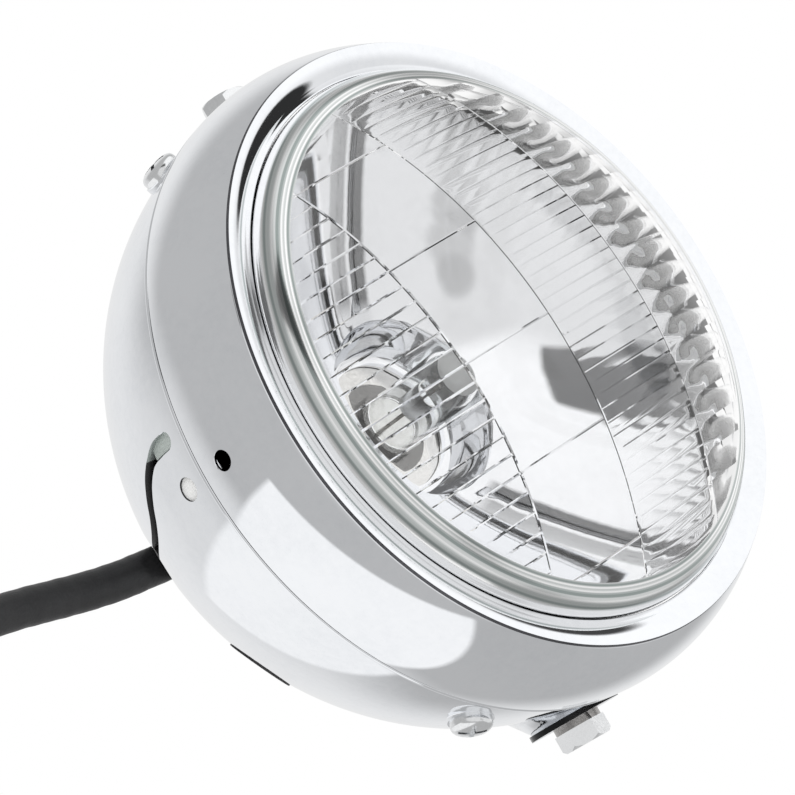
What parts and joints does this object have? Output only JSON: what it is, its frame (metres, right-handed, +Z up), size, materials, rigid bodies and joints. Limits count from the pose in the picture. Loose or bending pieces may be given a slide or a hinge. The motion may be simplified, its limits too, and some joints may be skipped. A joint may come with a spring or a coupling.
{
  "type": "motorcycle headlight",
  "caption": "Round chromed motorcycle headlight with fluted domed glass, trim ring, bowl held by side bolts, and a hanging cable with its plug.",
  "frame": {"origin": "on the lamp's axis, midway between the two side bolts that hold it in the fork ears", "axes": "+X towards the bolt that is at the right seen from the front, -Y the way the lamp shines, +Z up as fitted, cable at the bottom"},
  "size_m": [0.2074, 0.1463, 0.4528],
  "materials": {
    "chrome_bowl": "polished chrome plate on pressed steel",
    "chrome_ring": "mirror polished chrome plate on pressed steel",
    "clear_glass": "clear pressed glass, fluted inside",
    "seal_rubber": "soft black rubber",
    "silvered_steel": "vacuum silvered pressed steel",
    "spring_steel": "bright spring steel",
    "bulb_glass": "clear blown glass with a grey painted tip",
    "cap_metal": "nickel plated steel",
    "shield_metal": "bright metal",
    "filament": "drawn wire",
    "socket_plastic": "moulded heat-proof plastic",
    "zinc_steel": "zinc plated steel",
    "bright_steel": "bright plated steel",
    "dark_spring": "plated spring steel",
    "lead_red": "coloured lead insulation",
    "sleeve_black": "black insulating sleeve",
    "tie_black": "black nylon",
    "plug_white": "moulded nylon",
    "brass_pin": "tinned brass"
  },
  "bodies": {
    "root": {"bowl": "chrome_bowl", "trim_ring": "chrome_ring", "lens_glass": "clear_glass", "lens_seal": "seal_rubber", "reflector": "silvered_steel", "unit_clips": "spring_steel", "bulb_glass": "bulb_glass", "bulb_cap": "cap_metal", "bulb_shield": "shield_metal", "filaments": "filament", "bulb_spring": "spring_steel", "bulb_socket": "socket_plastic", "rubber_boot": "seal_rubber", "pilot_bulb": "bulb_glass", "pilot_holder": "cap_metal", "bolt_plates": "zinc_steel", "bolt_nuts": "zinc_steel", "flat_washers": "bright_steel", "spring_washers": "dark_spring", "side_bolts": "bright_steel", "ring_tabs": "zinc_steel", "ring_nuts": "zinc_steel", "ring_screws": "bright_steel", "slot_grommet": "seal_rubber", "hole_plug": "seal_rubber", "inner_leads": "lead_red", "cable_sleeve": "sleeve_black", "lead_ends": "lead_red", "cable_tie": "tie_black", "lead_plug": "plug_white", "plug_pins": "brass_pin"}
  },
  "joints": []
}
